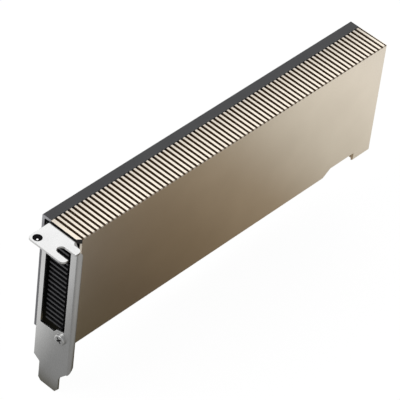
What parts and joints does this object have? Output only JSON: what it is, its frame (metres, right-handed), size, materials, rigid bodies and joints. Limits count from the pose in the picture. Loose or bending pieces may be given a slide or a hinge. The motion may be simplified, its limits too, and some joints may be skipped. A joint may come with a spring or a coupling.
{
  "type": "passive accelerator card",
  "caption": "Low-profile single-slot accelerator card for a server, cooled by the server's own air flow, with a ribbed champagne cover, black back plate and slot bracket.",
  "frame": {"origin": "datum of the edge connector: middle of the key notch, middle of the board's thickness, tip of the tongue", "axes": "+X from the bracket to the tail, +Y from the component side to the back plate, +Z from the edge connector up to the ribbed top edge"},
  "size_m": [0.1784, 0.0233, 0.0792],
  "materials": {
    "cover_gold": "fine blasted and anodised champagne",
    "black_plate": "black powder coat",
    "black_sink": "black anodised",
    "bracket_metal": "satin nickel plate",
    "face_screw": "nickel plate",
    "black_screw": "black zinc",
    "board": "black solder mask over glass epoxy",
    "contact_gold": "hard gold plate",
    "package_laminate": "green laminate",
    "stiffener_steel": "nickel plate",
    "silicon": "polished silicon",
    "paste": "grey compound",
    "chip_black": "moulded epoxy",
    "thermal_pad": "soft filled silicone",
    "choke_ferrite": "pressed ferrite powder",
    "polymer_capacitor": "moulded epoxy",
    "ceramic_capacitor": "fired ceramic",
    "crystal_can": "nickel lid",
    "plug_black": "moulded black plug",
    "film": "black polyester film"
  },
  "bodies": {
    "root": {"front_cover": "cover_gold", "back_plate": "black_plate", "circuit_board": "board", "edge_contacts": "contact_gold", "heat_sink": "black_sink", "bracket": "bracket_metal", "bracket_face_screw": "face_screw", "insulator_film": "film", "tab_hole_plug": "plug_black", "processor_package": "package_laminate", "package_stiffener": "stiffener_steel", "processor_die": "silicon", "thermal_paste": "paste", "memory_chips_front": "chip_black", "memory_chips_back": "chip_black", "memory_pads_front": "thermal_pad", "memory_pads_back": "thermal_pad", "power_chokes": "choke_ferrite", "choke_pads": "thermal_pad", "power_stages": "chip_black", "power_stage_pads": "thermal_pad", "output_capacitors": "polymer_capacitor", "input_capacitors": "ceramic_capacitor", "input_choke": "choke_ferrite", "decoupling_capacitors": "ceramic_capacitor", "coupling_capacitors": "ceramic_capacitor", "power_controller": "chip_black", "management_controller": "chip_black", "firmware_chip": "chip_black", "clock_crystal": "crystal_can", "voltage_regulators": "chip_black", "back_plate_screws": "black_screw", "bracket_ear_screw": "black_screw", "cover_screws": "black_screw"}
  },
  "joints": []
}
